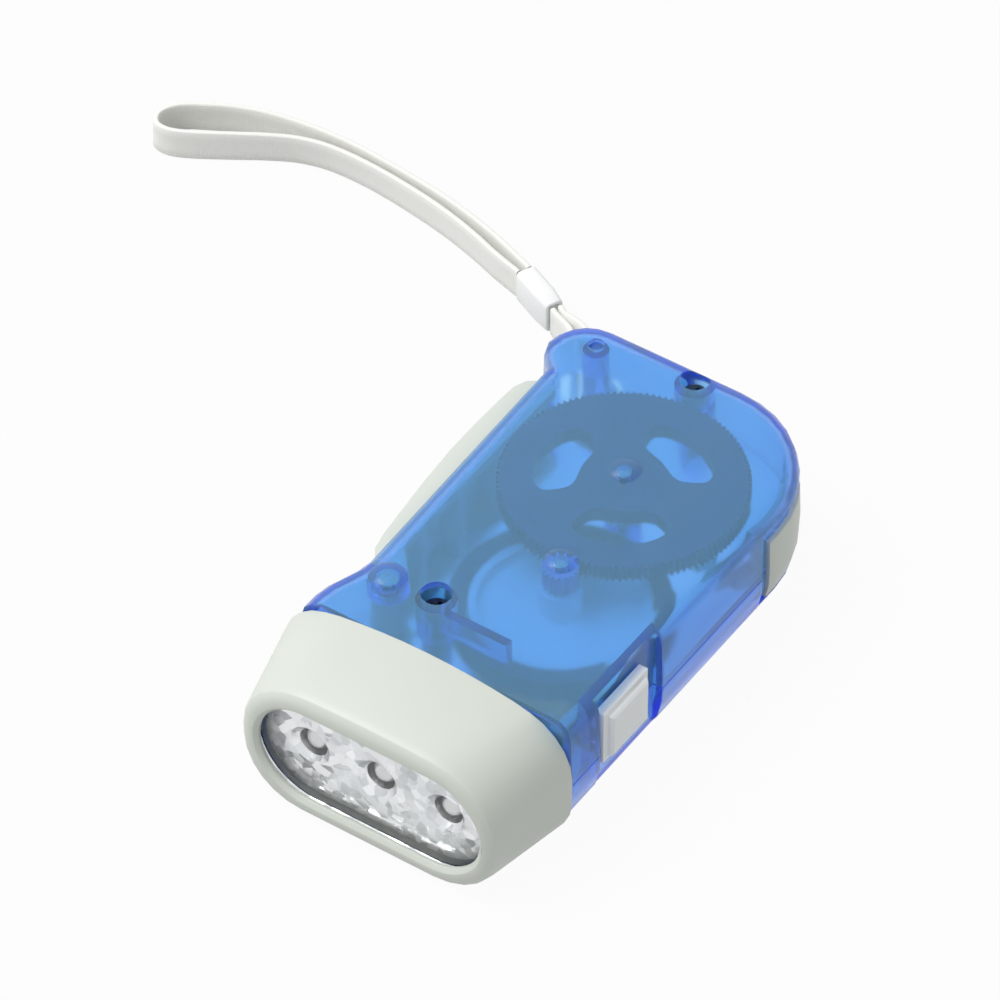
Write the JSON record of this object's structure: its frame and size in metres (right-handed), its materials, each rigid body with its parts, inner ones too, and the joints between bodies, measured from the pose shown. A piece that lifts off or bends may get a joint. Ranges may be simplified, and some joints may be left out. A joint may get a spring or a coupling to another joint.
{
  "type": "hand press dynamo torch",
  "caption": "Palm-size torch with a squeeze lever that spins a geared flywheel generator in a see-through housing, with a sliding lever lock, side switch and wrist strap.",
  "frame": {"origin": "on the flat back, in line with the middle of the nose window and halfway along the housing", "axes": "+Z out of the gear side, -Y out of the nose (the beam), -X towards the lever"},
  "size_m": [0.1557, 0.1314, 0.0281],
  "materials": {
    "blue_shell": "see-through blue, polished",
    "grey_plastic": "satin warm light grey",
    "clear_lens": "clear, polished",
    "silver_reflector": "mirror metallised",
    "led_lens": "clear, polished",
    "steel": "plain",
    "white_plastic": "satin",
    "dark_plastic": "satin",
    "ferrite": "plain dark",
    "copper_wire": "enamelled wire",
    "circuit_board": "green board",
    "webbing": "woven off-white",
    "red_lead": "insulated wire",
    "black_lead": "insulated wire"
  },
  "bodies": {
    "case": {"top_shell": "blue_shell", "bottom_shell": "blue_shell", "bezel": "grey_plastic", "case_screw_front": "steel", "case_screw_rear": "steel", "front_lens": "clear_lens", "reflector": "silver_reflector", "led_left": "led_lens", "led_middle": "led_lens", "led_right": "led_lens", "led_board": "circuit_board", "storage_cell": "steel", "rectifier": "dark_plastic", "lever_pin": "steel", "drive_axle": "steel", "rotor_axle": "steel", "stator_lower_plate": "steel", "stator_upper_plate": "steel", "coil_bobbin": "white_plastic", "coil_winding": "copper_wire", "switch_body": "steel", "coil_lead_red": "red_lead", "coil_lead_black": "black_lead", "switch_lead_red": "red_lead", "switch_lead_black": "black_lead", "strap_webbing": "webbing", "strap_sleeve": "white_plastic", "strap_tail": "webbing"},
    "lever": {"squeeze_lever": "grey_plastic", "lever_spring": "steel"},
    "drive_train": {"drive_pinion": "white_plastic", "ratchet_plate": "steel", "drive_gear": "dark_plastic"},
    "rotor": {"rotor_pinion": "dark_plastic", "flywheel": "white_plastic", "flywheel_ring": "dark_plastic", "ring_magnet": "ferrite"},
    "lock": {"lever_lock": "grey_plastic"},
    "switch": {"switch_knob": "grey_plastic", "switch_slider": "dark_plastic"}
  },
  "joints": [
    {"name": "rotor_spin", "type": "hinge", "parent": "case", "child": "rotor", "pos_m": [0.00384, -0.00131, 0.014], "axis": [0, 0, 1], "range_deg": [-1487.5, 0]},
    {"name": "drive_turn", "type": "hinge", "parent": "case", "child": "drive_train", "pos_m": [0.00078, 0.02161, 0.0205], "axis": [0, 0, 1], "range_deg": [0, 198.33]},
    {"name": "lever_swing", "type": "hinge", "parent": "case", "child": "lever", "pos_m": [-0.0168, -0.0196, 0.013], "axis": [0, 0, 1], "range_deg": [0, 17], "deforming": ["lever_spring"]},
    {"name": "lock_slide", "type": "hinge", "parent": "case", "child": "lock", "pos_m": [0.006, 0.03, 0.008], "axis": [0, 0, 1], "range_deg": [0, 8]},
    {"name": "switch_slide", "type": "slide", "parent": "case", "child": "switch", "axis": [0, 1, 0], "range_m": [0, 0.004]}
  ],
  "couplings": [
    {"joint": "lever_swing", "follows": "rotor_spin", "ratio": -0.011429},
    {"joint": "drive_turn", "follows": "rotor_spin", "ratio": -0.13333}
  ]
}
